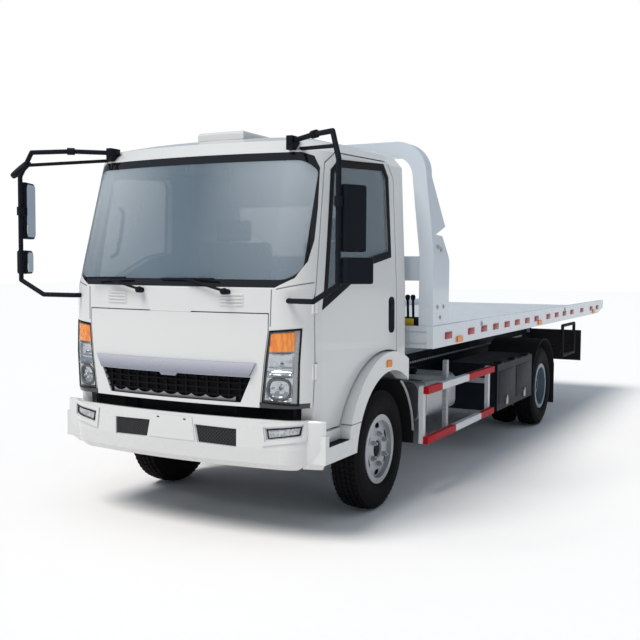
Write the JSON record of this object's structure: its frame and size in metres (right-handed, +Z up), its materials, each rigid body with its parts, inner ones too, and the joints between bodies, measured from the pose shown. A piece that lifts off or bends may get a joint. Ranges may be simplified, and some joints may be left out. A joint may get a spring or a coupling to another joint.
{
  "type": "light flatbed recovery truck",
  "caption": "Cab-over light truck with a sliding, tilting recovery bed, portal headboard, winch, side guards and toolboxes on a ladder frame with twin rear tyres.",
  "frame": {"origin": "middle of the truck's outline on the ground", "axes": "+Y to the rear, +X to the vehicle's left, +Z up"},
  "size_m": [2.5738, 7.9686, 2.4879],
  "materials": {
    "cab_paint": "gloss",
    "bed_paint": "gloss",
    "deck_paint": "satin",
    "chassis_black": "satin",
    "cast": "rough",
    "wheel_silver": "satin",
    "wheel_blue": "satin",
    "tyre": "matte",
    "black_plastic": "grained",
    "grey_plastic": "grained",
    "glass": "clear",
    "lamp": "clear",
    "red_lens": "clear",
    "amber_lens": "clear",
    "bright": "polished",
    "alloy": "brushed",
    "cloth": "woven",
    "steel": "ground",
    "box_grey": "satin",
    "rubber": "matte"
  },
  "bodies": {
    "chassis": {"frame_rails": "chassis_black", "front_axle": "cast", "rear_axle": "cast", "leaf_springs": "chassis_black", "driveline": "cast", "fuel_tank": "alloy", "front_bumper": "cab_paint", "fog_lamps": "lamp", "side_guards": "bed_paint", "toolboxes": "box_grey", "front_mudguards": "black_plastic", "rear_mudguards": "rubber", "rear_board": "chassis_black", "tail_lamps": "red_lens"},
    "tilting_frame": {"tilt_frame": "chassis_black"},
    "bed": {"bed_deck": "deck_paint", "bed_rails": "bed_paint", "headboard": "bed_paint", "winch": "chassis_black", "bed_lamps": "amber_lens"},
    "drum": {"winch_drum": "steel"},
    "barrels": {"lift_barrels": "chassis_black"},
    "rods": {"lift_rods": "steel"},
    "cab": {"cab_floor": "grey_plastic", "cab_front": "cab_paint", "cab_sides": "cab_paint", "cab_rear": "cab_paint", "cab_roof": "cab_paint", "cab_glass": "glass", "dashboard": "grey_plastic", "seats": "cloth", "headlamps": "lamp", "wipers": "black_plastic", "mirror_arms": "black_plastic", "mirror_heads": "black_plastic", "wheel_flares": "cab_paint"},
    "steering_wheel": {"steering_wheel": "black_plastic"},
    "flap": {"front_flap": "cab_paint", "grille": "black_plastic", "grille_bar": "bright"},
    "left_door": {"door_left": "cab_paint", "door_glass_left": "glass"},
    "right_door": {"door_right": "cab_paint", "door_glass_right": "glass"},
    "left_knuckle": {"knuckle_left": "cast"},
    "right_knuckle": {"knuckle_right": "cast"},
    "tie_rod": {"tie_rod": "chassis_black"},
    "left_lid": {"toolbox_lid_left": "box_grey"},
    "right_lid": {"toolbox_lid_right": "box_grey"},
    "front_left_wheel": {"front_tyre_left": "tyre", "front_wheel_left": "wheel_silver"},
    "front_right_wheel": {"front_tyre_right": "tyre", "front_wheel_right": "wheel_silver"},
    "rear_left_wheels": {"rear_tyres_left": "tyre", "rear_wheels_left": "wheel_blue"},
    "rear_right_wheels": {"rear_tyres_right": "tyre", "rear_wheels_right": "wheel_blue"}
  },
  "joints": [
    {"name": "bed_tilt", "type": "hinge", "parent": "chassis", "child": "tilting_frame", "pos_m": [0, 3, 0.855], "axis": [-1, 0, 0], "range_deg": [0, 14]},
    {"name": "bed_slide", "type": "slide", "parent": "tilting_frame", "child": "bed", "axis": [0, 1, 0], "range_m": [0, 3.5]},
    {"name": "lift_barrel_swing", "type": "hinge", "parent": "chassis", "child": "barrels", "pos_m": [0, -0.5, 0.65], "axis": [1, 0, 0], "range_deg": [0, 24]},
    {"name": "lift_rod_slide", "type": "slide", "parent": "barrels", "child": "rods", "axis": [0, 0.9749, 0.2228], "range_m": [0, 0.34]},
    {"name": "winch_drum_turn", "type": "hinge", "parent": "bed", "child": "drum", "pos_m": [0, -2.24, 1.255], "axis": [1, 0, 0], "continuous": true},
    {"name": "cab_tilt", "type": "hinge", "parent": "chassis", "child": "cab", "pos_m": [0, -3.785, 0.835], "axis": [1, 0, 0], "range_deg": [0, 45]},
    {"name": "flap_lift", "type": "hinge", "parent": "cab", "child": "flap", "pos_m": [0, -3.9, 1.343], "axis": [-1, 0, 0], "range_deg": [0, 60]},
    {"name": "left_door_swing", "type": "hinge", "parent": "cab", "child": "left_door", "pos_m": [0.884, -3.705, 1.4], "axis": [0, 0, -1], "range_deg": [0, 70]},
    {"name": "right_door_swing", "type": "hinge", "parent": "cab", "child": "right_door", "pos_m": [-0.884, -3.705, 1.4], "axis": [0, 0, 1], "range_deg": [0, 70]},
    {"name": "left_lid_lift", "type": "hinge", "parent": "chassis", "child": "left_lid", "pos_m": [1.062, -0.105, 0.786], "axis": [0, -1, 0], "range_deg": [0, 100]},
    {"name": "right_lid_lift", "type": "hinge", "parent": "chassis", "child": "right_lid", "pos_m": [-1.062, -0.105, 0.786], "axis": [0, 1, 0], "range_deg": [0, 100]},
    {"name": "left_steer", "type": "hinge", "parent": "chassis", "child": "left_knuckle", "pos_m": [0.65, -2.8, 0.4025], "axis": [0, 0, 1], "range_deg": [-35, 35]},
    {"name": "right_steer", "type": "hinge", "parent": "chassis", "child": "right_knuckle", "pos_m": [-0.65, -2.8, 0.4025], "axis": [0, 0, 1], "range_deg": [-35, 35]},
    {"name": "tie_rod_turn", "type": "hinge", "parent": "left_knuckle", "child": "tie_rod", "pos_m": [0.65, -2.635, 0.316], "axis": [0, 0, 1], "range_deg": [-35, 35]},
    {"name": "steering_wheel_turn", "type": "hinge", "parent": "cab", "child": "steering_wheel", "pos_m": [0.42, -3.36, 1.37], "axis": [0, 0.5, 0.866], "range_deg": [-560, 560]},
    {"name": "front_left_roll", "type": "hinge", "parent": "left_knuckle", "child": "front_left_wheel", "pos_m": [0.805, -2.8, 0.4025], "axis": [1, 0, 0], "continuous": true},
    {"name": "front_right_roll", "type": "hinge", "parent": "right_knuckle", "child": "front_right_wheel", "pos_m": [-0.805, -2.8, 0.4025], "axis": [1, 0, 0], "continuous": true},
    {"name": "rear_left_roll", "type": "hinge", "parent": "chassis", "child": "rear_left_wheels", "pos_m": [0.805, 1, 0.4025], "axis": [1, 0, 0], "continuous": true},
    {"name": "rear_right_roll", "type": "hinge", "parent": "chassis", "child": "rear_right_wheels", "pos_m": [-0.805, 1, 0.4025], "axis": [1, 0, 0], "continuous": true}
  ],
  "couplings": [
    {"joint": "right_steer", "follows": "left_steer", "ratio": 1},
    {"joint": "tie_rod_turn", "follows": "left_steer", "ratio": -1},
    {"joint": "steering_wheel_turn", "follows": "left_steer", "ratio": 16},
    {"joint": "lift_barrel_swing", "follows": "bed_tilt", "ratio": 1.6748},
    {"joint": "lift_rod_slide", "follows": "bed_tilt", "m_per_rad": 1.3382}
  ]
}
